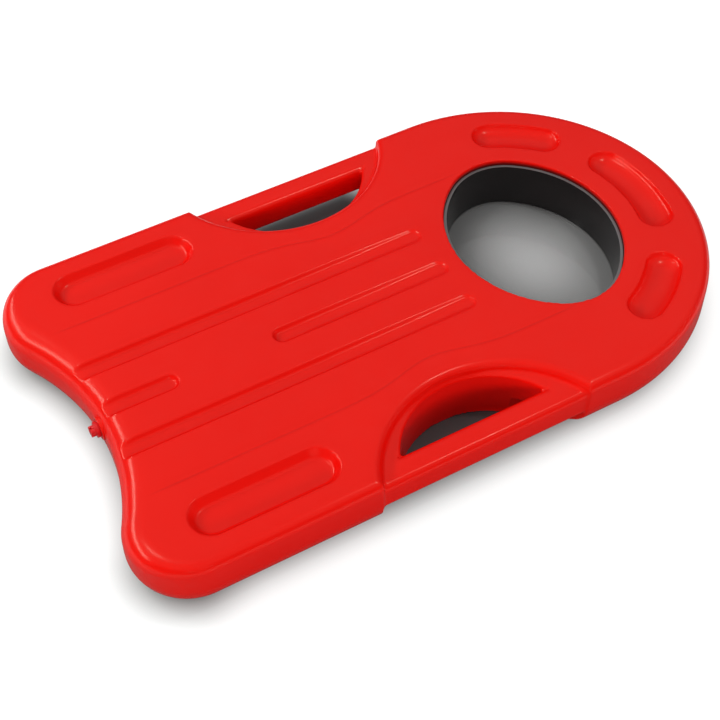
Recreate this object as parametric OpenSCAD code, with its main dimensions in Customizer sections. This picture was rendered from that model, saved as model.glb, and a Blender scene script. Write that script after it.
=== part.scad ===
// Viewing rescue board: a hollow moulded float with two hand holes, an oval
// viewing well with a clear pane at its foot, and a screwed drain plug in the
// tail. Millimetres. +X points to the nose, +Z up, origin under the middle of
// the board on the surface that it lies on.

/* [Board] */
// Length over the nose and the tail lobes
board_len = 702; // [680:1:730]
// Width over the parallel sides; the nose is a half circle of this width
board_w = 409; // [402:1:420]
// Height from the flat bottom to the deck
board_h = 66; // [63:1:68]
// Thickness of the moulded wall
wall = 4.5; // [3.5:0.5:5.5]
// Radius of the edge between deck and side
deck_r = 10; // [8:0.5:14]
// Radius of the edge between deck and tail
tail_r = 22; // [16:0.5:24]
// Radius of the edge between bottom and side
bilge_r = 31; // [26:0.5:34]
// Radius of the tail lobes
lobe_r = 59.5; // [56:0.5:62]
// Depth of the hollow between the tail lobes
notch_depth = 36.5; // [32:0.5:40]

/* [Viewing well] */
// Distance of the well's middle from the nose
well_from_nose = 176.5; // [174:0.5:180]
// Opening along the board
well_len = 176; // [172:0.5:178]
// Opening across the board
well_w = 220; // [214:0.5:222]
// Radius of the two end arcs of the oval
well_end_r = 64; // [60:0.5:68]
// Chamfer round the mouth in the deck
mouth_chamfer = 2; // [1:0.5:3]
// How far the sleeve's rim lies under the deck
rim_drop = 6.5; // [4:0.5:9]
// Wall of the sleeve
sleeve_t = 3; // [2.4:0.2:4]
// Thickness of the sleeve's flange
flange_t = 3; // [2.4:0.2:4]
// Width of the flange and the clamp ring beyond the well
flange_w = 20; // [19:0.5:22]
// Thickness of the pane
pane_t = 4; // [3:0.5:5]
// Overlap of the pane beyond the well
pane_lap = 6; // [4:0.5:6.5]
// Thickness of the gasket between hull and flange
flange_gasket_t = 1.5; // [1:0.1:2]
// Thickness of the gasket between flange and pane
pane_gasket_t = 1; // [0.6:0.1:1.6]
// Thickness of the clamp ring's lip under the pane
lip_t = 2.5; // [2:0.1:3.5]
// Height of the clamp ring's face above the bottom of the hull
ring_lift = 1; // [0.6:0.1:2]

/* [Clamp screws] */
// Number of screws round the well
screw_count = 10; // [8:2:12]
// Diameter of the screw shank
screw_d = 4; // [3:0.5:4.5]
// Diameter of the screw head
screw_head_d = 7.6; // [6.6:0.2:8]
// Height of the screw head
screw_head_h = 2.4; // [1.6:0.2:2.6]
// Outer diameter of the threaded insert
insert_d = 7; // [6.4:0.2:8]
// Length of the threaded insert
insert_len = 9; // [7:0.5:12]

/* [Hand holes] */
// Distance of the hand holes behind the middle of the board
hand_back = 9.5; // [6:0.5:14]
// Radius of the arc that bounds the sunk area in the deck
sink_r = 120; // [116:0.5:122]
// Distance of the sunk area's innermost point from the centre line
sink_in = 124; // [122:0.5:125.5]
// Depth of the sunk area, down to the top of the grip
sink_depth = 10; // [8:0.5:12]
// Radius of the arc that bounds the hole
hole_r = 88; // [84:0.5:90]
// Distance of the hole's innermost point from the centre line
hole_in = 126; // [126:0.5:130]
// Width of the grip bar
grip_w = 27; // [24:0.5:29]
// Height of the grip bar
grip_h = 32; // [28:0.5:34]
// Edge radius of the grip bar
grip_r = 7; // [5:0.5:10]
// How far the grip bar lies inside the board's side
grip_inset = 2; // [1:0.2:4]
// Distance of the room under the grip from the centre line
room_in = 150; // [146:0.5:154]

/* [Deck relief] */
// Length of the recess in each tail lobe
lobe_slot_len = 150; // [130:1:160]
// Width of the recess in each tail lobe
lobe_slot_w = 45; // [38:0.5:48]
// Depth of the recess in each tail lobe
lobe_slot_depth = 9; // [6:0.5:10]
// Distance of that recess from the tail
lobe_slot_from_tail = 57.5; // [54:0.5:62]
// Distance of that recess's middle from the centre line
lobe_slot_y = 156; // [150:0.5:158]
// Width of the recesses round the nose
nose_slot_w = 37; // [30:0.5:38]
// Depth of the recesses round the nose
nose_slot_depth = 9; // [6:0.5:10]
// Radius of the line that the nose recesses follow, about the nose's own centre
nose_slot_r = 158; // [156:0.5:160]
// Angle that the foremost recess spans, end to end
tip_slot_arc = 46; // [40:1:50]
// Angle that each of its neighbours spans, end to end
side_slot_arc = 35; // [30:1:38]
// Direction of those neighbours, off the nose
side_slot_dir = 54.5; // [53:0.5:57]
// Width of the channels along the deck
channel_w = 19; // [15:0.5:22]
// Depth of the channels along the deck
channel_depth = 5; // [3:0.5:6]
// Distance between the channels
channel_pitch = 52.5; // [46:0.5:58]
// Length of the middle channel's piece behind the plain field
rear_channel_len = 84; // [70:1:90]
// Length of the plain field in the middle channel
plain_field = 102; // [80:1:120]

/* [Drain plug] */
// Height of the plug's axis above the bottom
plug_z = 42; // [40:0.5:44]
// Diameter of the plug's collar
plug_collar_d = 16; // [15:0.5:18]
// Thickness of the plug's collar
plug_collar_t = 3.5; // [2.5:0.5:5]
// Diameter of the plug's knob
plug_knob_d = 11; // [9:0.5:13]
// Length of the plug's knob
plug_knob_len = 5; // [3:0.5:7]
// Diameter of the plug's threaded shank
plug_d = 10; // [9:0.5:10.5]
// Length of the plug's threaded shank
plug_len = 15; // [12:0.5:15.5]
// Outer diameter of the bush in the hull
bush_d = 18; // [17:0.5:20]
// Length of the bush in the hull
bush_len = 16; // [15.5:0.5:20]
// Wall of the hull's boss round the bush
boss_t = 3; // [2:0.5:4]
// How far the bush stands out of the notch
bush_proud = 1.5; // [1:0.1:3]
// Section diameter of the plug's seal ring
seal_d = 1.8; // [1.4:0.1:2]

/* [Fits] */
// Gap between a sleeve or ring and the piece round it
drop_in_gap = 0.4; // [0.3:0.05:0.8]
// Radial gap round a screw in its clearance holes
screw_gap = 0.2; // [0.1:0.05:0.4]
// Gap left round the seal ring of the plug
seal_gap = 0.1; // [0.05:0.01:0.2]
// Radial gap between a thread and its mate, drawn without threads
thread_gap = 0.06; // [0.03:0.01:0.1]

/* [Hidden] */
eps = 0.01;
past = 1;
round_fn = 96;
cone_fn = 24;

// Plan: a half circle at the nose, straight sides, round lobes and a hollow arc between them
half_len = board_len / 2;
half_w = board_w / 2;
nose_x = half_len - half_w;
tail_x = -half_len;
lobe_x = tail_x + lobe_r;
lobe_y = half_w - lobe_r;
notch_x = tail_x + notch_depth;
notch_r = (pow(lobe_y, 2) + pow(lobe_r - notch_depth, 2) - pow(lobe_r, 2)) / (2 * notch_depth);
notch_cx = notch_x - notch_r;
notch_turn = atan2(lobe_y, lobe_x - notch_cx);
nose_steps = 40;
lobe_steps = 12;
notch_steps = 14;

// The well: an oval of four arcs that meet in line
well_x = half_len - well_from_nose;
well_a = well_len / 2;
well_b = well_w / 2;
end_c = well_b - well_end_r;
flank_e = well_a - well_end_r;
flank_c = (end_c * end_c - flank_e * flank_e) / (2 * flank_e);
flank_r = well_a + flank_c;
arc_run = norm([end_c, flank_c]);

// Levels of the well's pieces, from the bottom up
lip_top = ring_lift + lip_t;
pane_top = lip_top + pane_t;
band_top = pane_top + pane_gasket_t;
flange_top = band_top + flange_t;
seat_z = flange_top + flange_gasket_t;
sleeve_top = board_h - rim_drop;
boss_top = seat_z + insert_len + wall;

// How far each piece of the well reaches beyond the opening, or inside it
sleeve_out = -drop_in_gap;
sleeve_in = sleeve_out - sleeve_t;
seat_out = flange_w + drop_in_gap;
band_in = pane_lap + drop_in_gap;
lip_in = sleeve_in + 2;
screw_out = (band_in + flange_w) / 2;

// Hand holes
hand_x = -hand_back;
sink_y = sink_in + sink_r;
hole_y = hole_in + hole_r;
grip_side = half_w - grip_inset;
grip_y = grip_side - grip_w / 2;
grip_top = board_h - sink_depth;
grip_foot = grip_top - grip_h;
grip_z = (grip_top + grip_foot) / 2;
grip_in = grip_side - grip_w;
grip_len = 2 * sqrt(pow(sink_r, 2) - pow(sink_y - grip_side, 2)) + 8;

// Deck relief: how far each kind of wall leans for each millimetre of its depth
slot_lean = 0.78;
nose_lean = 1.2;
channel_lean = 0.5;
lobe_slot_x = tail_x + lobe_slot_from_tail;
channel_end = well_x - well_a - 17;
channel_fade = channel_end - 195;
rear_end = notch_x + rear_channel_len;
front_start = rear_end + plain_field;
nose_slot_steps = 4;
nose_slot_end = asin(nose_slot_w / 2 / nose_slot_r);

// Drain plug, with its axis along X; its seal ring lies between the collar and the bush
bush_face = notch_x - bush_proud;
collar_face = bush_face - seal_gap;
seal_r = plug_d / 2 + seal_gap + seal_d / 2;
seal_seat_depth = seal_d + seal_gap;
seal_seat_r = seal_r + seal_d / 2 + 2 * seal_gap;
drain_d = plug_d - 2;

red = "red";
smoke = [0.13, 0.13, 0.14, 0.8];
clear = [0.85, 0.9, 0.92, 0.3];
rubber = [0.06, 0.06, 0.06];

function on_arc(c, r, t) = [c[0] + r * cos(t), c[1] + r * sin(t)];

function ease(u) = u * u * (3 - 2 * u);

// How far an edge of radius r draws in, at a height h above the start of its curve
function drawn_in(r, h) = h <= 0 ? 0 : r - sqrt(max(r * r - h * h, 0));

// Plan of the board, counter-clockwise from the right of the nose, drawn in by d along the sides and
// the nose and by dt along the tail, with the change spread over the lobes
function plan(d, dt) = let (
    lobe_turn = 90 + notch_turn,
    share = [for (i = [0:lobe_steps]) d + (dt - d) * ease(i / lobe_steps)]
) concat(
    [for (i = [0:nose_steps]) on_arc([nose_x, 0], half_w - d, 180 * i / nose_steps - 90)],
    [for (i = [0:lobe_steps])
        on_arc([lobe_x, lobe_y], lobe_r - share[i], 90 + lobe_turn * i / lobe_steps)],
    [for (i = [1:notch_steps - 1])
        on_arc([notch_cx, 0], notch_r + dt, notch_turn * (1 - 2 * i / notch_steps))],
    [for (i = [lobe_steps:-1:0])
        on_arc([lobe_x, -lobe_y], lobe_r - share[i], 270 - lobe_turn * i / lobe_steps)]
);

// Body of the board drawn in by skin all over: rings of the plan, lofted from the bottom to the deck
module body(skin, low_steps, high_steps) {
    low_r = bilge_r - skin;
    side_r = deck_r - skin;
    high_r = tail_r - skin;
    low = [for (j = [0:low_steps]) let (a = 90 - 90 * j / low_steps, d = skin + low_r * (1 - cos(a)))
        [d, d, skin + low_r * (1 - sin(a))]];
    high = [for (j = [0:high_steps]) let (h = high_r * sin(90 * j / high_steps))
        [skin + drawn_in(side_r, h - high_r + side_r), skin + drawn_in(high_r, h),
         board_h - tail_r + h]];
    rings = concat(low, high);
    n = len(plan(0, 0));
    last = len(rings) - 1;
    points = [for (ring = rings) for (p = plan(ring[0], ring[1])) [p[0], p[1], ring[2]]];
    skirt = [for (j = [0:last - 1]) for (i = [0:n - 1])
        let (a = j * n + i, b = j * n + (i + 1) % n)
        each [[a, a + n, b], [b, a + n, b + n]]];
    foot = [for (i = [0:n - 1]) i];
    deck = [for (i = [0:n - 1]) last * n + n - 1 - i];
    polyhedron(points, concat(skirt, [foot, deck]));
}

// Oval of the well, grown by g all round
module oval(g) {
    meet_y = end_c + (well_end_r + g) * end_c / arc_run;
    intersection() {
        translate([flank_c, 0]) circle(flank_r + g, $fn = round_fn);
        translate([-flank_c, 0]) circle(flank_r + g, $fn = round_fn);
        square([3 * well_w, 2 * meet_y], center = true);
    }
    for (side = [-1, 1]) translate([0, side * end_c]) circle(well_end_r + g, $fn = round_fn);
}

module oval_plate(g, z0, z1) {
    translate([well_x, 0, z0]) linear_extrude(z1 - z0) oval(g);
}

module oval_band(inner, outer, z0, z1) {
    difference() {
        oval_plate(outer, z0, z1);
        oval_plate(inner, z0 - past, z1 + past);
    }
}

module at_screws() {
    for (i = [0:screw_count - 1]) {
        t = 360 * (i + 0.5) / screw_count;
        translate([well_x + (well_a + screw_out) * cos(t), (well_b + screw_out) * sin(t), 0]) children();
    }
}

module screw_holes(d, z0, z1) {
    at_screws() translate([0, 0, z0]) cylinder(d = d, h = z1 - z0, $fn = 24);
}

module both_sides() {
    children();
    mirror([0, 1, 0]) children();
}

// Round dish with leaning walls, cut down from the deck
module dish(w, depth, lean, grow) {
    r = w / 2 + grow;
    fn = grow > 0 ? cone_fn / 2 : cone_fn;
    translate([0, 0, board_h - depth - grow])
        cylinder(h = depth + grow + eps, r1 = r - lean * depth, r2 = r, $fn = fn);
}

// Recess between two points on the deck
module trough(p, q, w, depth_p, depth_q, lean, grow) {
    hull() {
        translate(p) dish(w, depth_p, lean, grow);
        translate(q) dish(w, depth_q, lean, grow);
    }
}

module lobe_slots(grow) {
    r = lobe_slot_w / 2;
    both_sides() trough([lobe_slot_x + r, lobe_slot_y], [lobe_slot_x + lobe_slot_len - r, lobe_slot_y],
                        lobe_slot_w, lobe_slot_depth, lobe_slot_depth, slot_lean, grow);
}

// Recess round the nose, centred on one direction
module nose_slot(dir, arc, grow) {
    from = dir - arc / 2 + nose_slot_end;
    step = (arc - 2 * nose_slot_end) / nose_slot_steps;
    for (i = [0:nose_slot_steps - 1])
        trough(on_arc([nose_x, 0], nose_slot_r, from + step * i),
               on_arc([nose_x, 0], nose_slot_r, from + step * (i + 1)),
               nose_slot_w, nose_slot_depth, nose_slot_depth, nose_lean, grow);
}

module nose_slots(grow) {
    nose_slot(0, tip_slot_arc, grow);
    both_sides() nose_slot(side_slot_dir, side_slot_arc, grow);
}

module channel(x0, x1, y, depth0, depth1, grow) {
    trough([x0, y], [x1, y], channel_w, depth0, depth1, channel_lean, grow);
}

// Channels that run out over the tail and fade towards the well
module channels(grow) {
    r = channel_w / 2;
    faint = 0.4 * channel_depth;
    both_sides() channel(tail_x - r, channel_fade, channel_pitch, channel_depth, channel_depth, grow);
    both_sides() channel(channel_fade, channel_end - r, channel_pitch, channel_depth, faint, grow);
    channel(tail_x - r, rear_end - r, 0, channel_depth, channel_depth, grow);
    channel(front_start + r, channel_end - r, 0, channel_depth, faint, grow);
}

// Upright round cut for the hand
module hand_round(y, r, z0, z1) {
    translate([hand_x, y, z0]) cylinder(r = r, h = z1 - z0, $fn = round_fn);
}

// Part of the sunk area's round that lies further out than y
module hand_round_beyond(y, grow, z0, z1) {
    intersection() {
        hand_round(sink_y, sink_r + grow, z0, z1);
        translate([tail_x, y - grow, z0 - past]) cube([board_len, board_w, z1 - z0 + 2 * past]);
    }
}

// Sunk area, hole, room under the grip and space that the grip takes up, for one hand
module hand_cut(grow) {
    hand_round(sink_y, sink_r + grow, grip_top - grow, board_h + past);
    hand_round(hole_y, hole_r + grow, -past, board_h + past);
    hand_round_beyond(room_in, grow, -past, grip_foot + grow);
    hand_round_beyond(grip_in, grow, -past, board_h + past);
}

module grip_bar() {
    translate([hand_x - grip_len / 2, grip_y, grip_z]) rotate([90, 0, 90])
        linear_extrude(grip_len) offset(r = grip_r, $fn = 32)
            square([grip_w - 2 * grip_r, grip_h - 2 * grip_r], center = true);
}

// Round bar or bore on the plug's axis
module along_x(x, d, run) {
    translate([x, 0, plug_z]) rotate([0, 90, 0]) cylinder(d = d, h = run, $fn = 48);
}

// Air space inside the hull, a wall's thickness away from everything sunk into it
module air_space() {
    difference() {
        body(wall, 4, 3);
        lobe_slots(wall);
        nose_slots(wall);
        channels(wall);
        both_sides() hand_cut(wall);
        oval_plate(seat_out + wall, 0, boss_top);
        oval_plate(wall, 0, board_h);
        along_x(tail_x, bush_d + 2 * wall, bush_face + bush_len + wall - tail_x);
    }
}

module hull_shell() {
    color(red) difference() {
        union() {
            difference() {
                body(0, 6, 6);
                both_sides() hand_cut(0);
            }
            both_sides() grip_bar();
            along_x(bush_face, bush_d + 2 * boss_t, bush_proud + 2 * wall);
        }
        air_space();
        lobe_slots(0);
        nose_slots(0);
        channels(0);
        oval_plate(0, -past, board_h + past);
        oval_plate(seat_out, -past, seat_z);
        hull() {
            oval_plate(mouth_chamfer, board_h, board_h + eps);
            oval_plate(0, board_h - mouth_chamfer, board_h);
        }
        screw_holes(insert_d + 2 * thread_gap, seat_z - past, seat_z + insert_len);
        along_x(bush_face - past, bush_d + 2 * thread_gap, bush_len + past);
        along_x(bush_face, drain_d, bush_len + 2 * wall + past);
    }
}

module window_sleeve() {
    color(smoke) difference() {
        union() {
            oval_plate(sleeve_out, band_top, sleeve_top);
            oval_plate(flange_w, band_top, flange_top);
        }
        oval_plate(sleeve_in, band_top - past, sleeve_top + past);
        screw_holes(screw_d + 2 * screw_gap, band_top - past, flange_top + past);
    }
}

module window_pane() {
    color(clear) oval_plate(pane_lap, lip_top, pane_top);
}

module flange_gasket() {
    color(rubber) difference() {
        oval_band(drop_in_gap, flange_w, flange_top, seat_z);
        screw_holes(screw_d + 2 * screw_gap, flange_top - past, seat_z + past);
    }
}

module pane_gasket() {
    color(rubber) oval_band(sleeve_in, pane_lap, pane_top, band_top);
}

module clamp_ring() {
    color("dimgray") difference() {
        oval_plate(flange_w, ring_lift, band_top);
        oval_plate(lip_in, ring_lift - past, band_top);
        oval_plate(band_in, lip_top, band_top + past);
        screw_holes(screw_d + 2 * screw_gap, ring_lift - past, band_top + past);
        screw_holes(screw_head_d + 2 * screw_gap, ring_lift - past, ring_lift + screw_head_h);
    }
}

module clamp_screws() {
    shank = seat_z + insert_len - ring_lift - past;
    color("silver") at_screws() translate([0, 0, ring_lift]) {
        cylinder(d = screw_head_d, h = screw_head_h, $fn = 32);
        cylinder(d = screw_d, h = shank, $fn = 32);
    }
}

module screw_inserts() {
    color("goldenrod") at_screws() translate([0, 0, seat_z]) difference() {
        cylinder(d = insert_d, h = insert_len - thread_gap, $fn = 32);
        translate([0, 0, -past])
            cylinder(d = screw_d + 2 * thread_gap, h = insert_len + 2 * past, $fn = 32);
    }
}

module plug_bush() {
    color(red) difference() {
        along_x(bush_face, bush_d, bush_len - thread_gap);
        along_x(bush_face - past, plug_d + 2 * thread_gap, bush_len + 2 * past);
        along_x(bush_face - past, 2 * seal_seat_r, seal_seat_depth + past);
    }
}

// Plug turned from one profile: a knob with a coin slot and finger scallops, a collar and a shank
module drain_plug() {
    collar_x = plug_knob_len;
    shank_x = collar_x + plug_collar_t;
    tip_x = shank_x + plug_len;
    tip_chamfer = 1;
    slot_w = 2;
    slot_deep = 2;
    scallop_d = 3;
    scallops = 8;
    shank_r = plug_d / 2;
    color(red) translate([collar_face - shank_x, 0, plug_z]) rotate([0, 90, 0]) difference() {
        rotate_extrude($fn = 48) polygon([
            [0, 0], [plug_knob_d / 2, 0], [plug_knob_d / 2, collar_x], [plug_collar_d / 2, collar_x],
            [plug_collar_d / 2, shank_x], [shank_r, shank_x], [shank_r, tip_x - tip_chamfer],
            [shank_r - tip_chamfer, tip_x], [0, tip_x]
        ]);
        translate([-plug_knob_d, -slot_w / 2, -past]) cube([2 * plug_knob_d, slot_w, slot_deep + past]);
        for (i = [0:scallops - 1]) rotate(360 * (i + 0.5) / scallops)
            translate([plug_knob_d / 2 + scallop_d / 4, 0, -past])
                cylinder(d = scallop_d, h = plug_knob_len + past - scallop_d / 4, $fn = 24);
    }
}

module plug_seal_ring() {
    color(rubber) translate([bush_face + seal_d / 2, 0, plug_z]) rotate([0, 90, 0])
        rotate_extrude($fn = 48) translate([seal_r, 0]) circle(d = seal_d, $fn = 24);
}

hull_shell();
window_sleeve();
window_pane();
flange_gasket();
pane_gasket();
clamp_ring();
clamp_screws();
screw_inserts();
plug_bush();
drain_plug();
plug_seal_ring();
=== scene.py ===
# %% [markdown]
# # A moulded rescue board with a viewing well
#
# The object is a hollow float, moulded in one piece of red polyethylene: a round nose, straight
# sides, a swallow tail, a hand hole in each side and an oval well that you look down through.
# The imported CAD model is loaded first. It is the fixed frame: it says where every piece is and
# which pieces move, so nothing here has to be fitted by eye.

# %% Load the frame
import math

import bpy
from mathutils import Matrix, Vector


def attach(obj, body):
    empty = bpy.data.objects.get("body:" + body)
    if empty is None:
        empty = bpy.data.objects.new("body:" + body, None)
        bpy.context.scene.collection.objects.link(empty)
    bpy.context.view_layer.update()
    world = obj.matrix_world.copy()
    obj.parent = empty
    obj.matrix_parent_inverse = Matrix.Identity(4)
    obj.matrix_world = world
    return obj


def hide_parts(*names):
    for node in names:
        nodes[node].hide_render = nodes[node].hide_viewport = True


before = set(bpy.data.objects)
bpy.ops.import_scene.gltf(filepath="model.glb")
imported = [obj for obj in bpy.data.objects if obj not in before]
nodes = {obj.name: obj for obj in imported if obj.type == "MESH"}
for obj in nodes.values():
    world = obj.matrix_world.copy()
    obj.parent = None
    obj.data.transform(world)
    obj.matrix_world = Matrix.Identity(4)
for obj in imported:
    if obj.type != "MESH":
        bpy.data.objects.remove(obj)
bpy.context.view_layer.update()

# %% [markdown]
# ## The camera
#
# The photograph looks down on the tail from the board's right, at about fifty degrees, with a
# long lens. The camera comes first, because every later choice of detail is judged through it.
# It stands on a line from a point on the deck, turned by an azimuth and an elevation, which is
# easier to correct than three separate rotations.

# %% Camera
MM = 0.001
AIM = Vector((-69.6, -66.0, 66.0)) * MM
CAMERA_DISTANCE = 1.430
CAMERA_AZIMUTH = math.radians(-119.64)
CAMERA_ELEVATION = math.radians(49.95)
LENS = 74.5

back = Vector((
    math.cos(CAMERA_ELEVATION) * math.cos(CAMERA_AZIMUTH),
    math.cos(CAMERA_ELEVATION) * math.sin(CAMERA_AZIMUTH),
    math.sin(CAMERA_ELEVATION),
))
bpy.ops.object.camera_add(location=AIM + CAMERA_DISTANCE * back)
camera = bpy.context.object
camera.name = "camera"
camera.rotation_euler = (-back).to_track_quat("-Z", "Y").to_euler()
camera.data.sensor_width = 36.0
camera.data.lens = LENS
bpy.context.scene.camera = camera
print("camera at", [round(v, 3) for v in camera.location])

# %% [markdown]
# ## Working habits
#
# Operators act on whatever is selected, so each step first selects one object and nothing else.
# A few small helpers do most of the modelling. One draws a closed outline as a single flat face:
# it starts as Blender's circle, whose points are then set on the outline. Another grows that
# face step by step with Inset and Extrude, as you would by hand. Two more close the open end and
# add or cut the finished block.

# %% Helpers for selecting and for modifiers
def no_selection():
    if bpy.context.mode != "OBJECT":
        bpy.ops.object.mode_set(mode="OBJECT")
    bpy.ops.object.select_all(action="DESELECT")


def only(obj):
    no_selection()
    obj.select_set(True)
    bpy.context.view_layer.objects.active = obj


def apply_modifier(obj, kind, **settings):
    only(obj)
    modifier = obj.modifiers.new(kind.lower(), kind)
    for key, value in settings.items():
        setattr(modifier, key, value)
    bpy.ops.object.modifier_apply(modifier=modifier.name)


# %% Helpers for outlines, blocks and cuts
def arc(centre, radius, start, end, steps):
    turn = [math.radians(start + (end - start) * i / steps) for i in range(steps + 1)]
    return [(centre[0] + radius * math.cos(t), centre[1] + radius * math.sin(t)) for t in turn]


def circle(centre, radius, steps):
    return arc(centre, radius, 0, 360, steps)[:-1]


def outline_face(name, outline, z):
    no_selection()
    bpy.ops.mesh.primitive_circle_add(vertices=len(outline), fill_type="NGON")
    face = bpy.context.object
    face.name = name
    for vert, (x, y) in zip(face.data.vertices, outline):
        vert.co = Vector((x, y, z)) * MM
    return face


def grow(obj, steps):
    only(obj)
    bpy.ops.object.mode_set(mode="EDIT")
    bpy.ops.mesh.select_all(action="SELECT")
    for draw_in, rise in steps:
        if draw_in:
            bpy.ops.mesh.inset(thickness=draw_in * MM, depth=rise * MM, use_boundary=True)
        else:
            bpy.ops.mesh.extrude_region_move(TRANSFORM_OT_translate={"value": (0, 0, rise * MM)})
    bpy.ops.object.mode_set(mode="OBJECT")


def close_solid(obj):
    only(obj)
    bpy.ops.object.mode_set(mode="EDIT")
    bpy.ops.mesh.select_mode(type="VERT")
    bpy.ops.mesh.select_all(action="DESELECT")
    bpy.ops.mesh.select_non_manifold()
    bpy.ops.mesh.edge_face_add()
    bpy.ops.mesh.select_all(action="SELECT")
    bpy.ops.mesh.normals_make_consistent(inside=False)
    bpy.ops.object.mode_set(mode="OBJECT")


def block(name, outline, z, steps):
    solid = outline_face(name, outline, z)
    grow(solid, steps)
    close_solid(solid)
    return solid


def combine(target, tool, operation):
    apply_modifier(target, "BOOLEAN", operation=operation, solver="EXACT", object=tool)
    bpy.data.objects.remove(tool)


# %% [markdown]
# ## The plan of the board
#
# Seen from above the board is drawn with arcs that run into each other: a half circle at the
# nose, two straight sides, a round lobe at each tail corner and one hollow arc between them.
# The hollow arc's radius follows from the lobes, because it has to touch both without a kink.

# %% Plan
HALF_LEN = 351.0
HALF_W = 204.5
LOBE_R = 59.5
NOTCH_DEPTH = 36.5
NOSE_X = HALF_LEN - HALF_W
LOBE_X = LOBE_R - HALF_LEN
LOBE_Y = HALF_W - LOBE_R
NOTCH_X = NOTCH_DEPTH - HALF_LEN
NOTCH_R = (LOBE_Y ** 2 + (LOBE_R - NOTCH_DEPTH) ** 2 - LOBE_R ** 2) / (2 * NOTCH_DEPTH)
NOTCH_C = NOTCH_X - NOTCH_R
NOTCH_TURN = math.degrees(math.atan2(LOBE_Y, LOBE_X - NOTCH_C))
NOTCH_Y = NOTCH_R * math.sin(math.radians(NOTCH_TURN))
NOSE_STEPS = 120
LOBE_STEPS = 40
NOTCH_STEPS = 48

plan = arc((NOSE_X, 0), HALF_W, -90, 90, NOSE_STEPS)
plan += arc((LOBE_X, LOBE_Y), LOBE_R, 90, 180 + NOTCH_TURN, LOBE_STEPS)
plan += arc((NOTCH_C, 0), NOTCH_R, NOTCH_TURN, -NOTCH_TURN, NOTCH_STEPS)[1:-1]
plan += arc((LOBE_X, -LOBE_Y), LOBE_R, 180 - NOTCH_TURN, 270, LOBE_STEPS)
print("plan has", len(plan), "points; the tail's hollow has radius", round(NOTCH_R, 1), "mm")

# %% [markdown]
# ## The float's body
#
# The body starts as a plain slab with upright sides. One Bevel then rounds it all, because an
# edge's bevel weight scales the width for that edge alone. The bottom edge has the full width,
# the deck's edge along the sides about a third of it, and along the tail, where the photograph
# shows a broad soft highlight, more than two thirds. The weight changes gradually round each lobe.

# %% Body
BOARD_H = 66.0
DECK_R = 10.0
TAIL_R = 22.0
BILGE_R = 31.0


def tail_share(point):
    if abs(point.y) < NOTCH_Y:
        return 1.0 if point.x < 0 else 0.0
    turn = math.degrees(math.atan2(LOBE_X - point.x, abs(point.y) - LOBE_Y))
    share = min(max(turn / (90 + NOTCH_TURN), 0.0), 1.0)
    return share * share * (3 - 2 * share)


hull = block("hull", plan, 0, [(0, BOARD_H)])
weights = hull.data.attributes.new("bevel_weight_edge", "FLOAT", "EDGE")
for edge in hull.data.edges:
    a, b = (hull.data.vertices[i].co / MM for i in edge.vertices)
    if abs(a.z - b.z) > BOARD_H / 2:
        continue
    radius = BILGE_R
    if a.z > BOARD_H / 2:
        radius = DECK_R + (TAIL_R - DECK_R) * tail_share((a + b) / 2)
    weights.data[edge.index].value = radius / BILGE_R
apply_modifier(
    hull, "BEVEL", width=BILGE_R * MM, segments=12, limit_method="WEIGHT", use_clamp_overlap=False,
)
print("body has", len(hull.data.polygons), "faces")

# %% [markdown]
# ## Hand holes and grips
#
# A wide round area is sunk into the deck at each side, down to the top of the grip, and a
# smaller one goes right through. Both have a rounded rim, so their cutters flare at the top like
# a trumpet. Underneath there is room for the knuckles. It is easier to cut away the whole space
# that the grip takes up and then put back a rounded bar, a little inside the line of the board,
# than to round the bar's edges in place. A shoulder at each end joins the bar to the ledge.

# %% Hand holes
HAND_X = -9.5
SINK_R = 120.0
SINK_Y = 124.0 + SINK_R
HOLE_R = 88.0
HOLE_Y = 126.0 + HOLE_R
SINK_LIP = 8.0
HOLE_LIP = 3.0
LIP_STEPS = 6
ROOM_Y = 150.0
GRIP_W = 27.0
GRIP_H = 32.0
GRIP_R = 7.0
GRIP_TOP = BOARD_H - 10.0
GRIP_FOOT = GRIP_TOP - GRIP_H
GRIP_OUT = HALF_W - 2.0
GRIP_IN = GRIP_OUT - GRIP_W
GRIP_END = 4.0
GRIP_LEN = 2 * math.sqrt(SINK_R ** 2 - (SINK_Y - GRIP_OUT) ** 2) + 2 * GRIP_END
HOLE_STEPS = 192
ROOM_STEPS = 128
BEYOND = 4.0


def cut_away(outline, low, high):
    combine(hull, block("cut", outline, low, [(0, high - low)]), "DIFFERENCE")


def cut_flared(y, radius, low, high, lip):
    tool = outline_face("cut", circle((HAND_X, y), radius + lip, HOLE_STEPS), BOARD_H + BEYOND)
    turns = [math.radians(90 * i / LIP_STEPS) for i in range(LIP_STEPS + 1)]
    steps = [(0, high - BOARD_H - BEYOND)]
    for a, b in zip(turns, turns[1:]):
        steps.append((lip * (math.sin(b) - math.sin(a)), lip * (math.cos(b) - math.cos(a))))
    grow(tool, steps + [(0, low + lip - high)])
    close_solid(tool)
    combine(hull, tool, "DIFFERENCE")


def round_beyond(side, y):
    turn = math.degrees(math.asin((SINK_Y - y) / SINK_R))
    outline = arc((HAND_X, SINK_Y), SINK_R, -turn, 180 + turn, ROOM_STEPS)
    return [(x, side * y) for x, y in outline][::side]


for side in (-1, 1):
    cut_flared(side * SINK_Y, SINK_R, GRIP_TOP, BOARD_H, SINK_LIP)
    cut_flared(side * HOLE_Y, HOLE_R, -BEYOND, GRIP_TOP, HOLE_LIP)
    cut_away(round_beyond(side, ROOM_Y), -BEYOND, GRIP_FOOT)
    cut_away(round_beyond(side, GRIP_IN), -BEYOND, BOARD_H + BEYOND)
print("hand holes cut,", len(hull.data.polygons), "faces")

# %% Grips
SHOULDER_FROM = 84.0
SHOULDER_TO = 112.0


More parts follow.
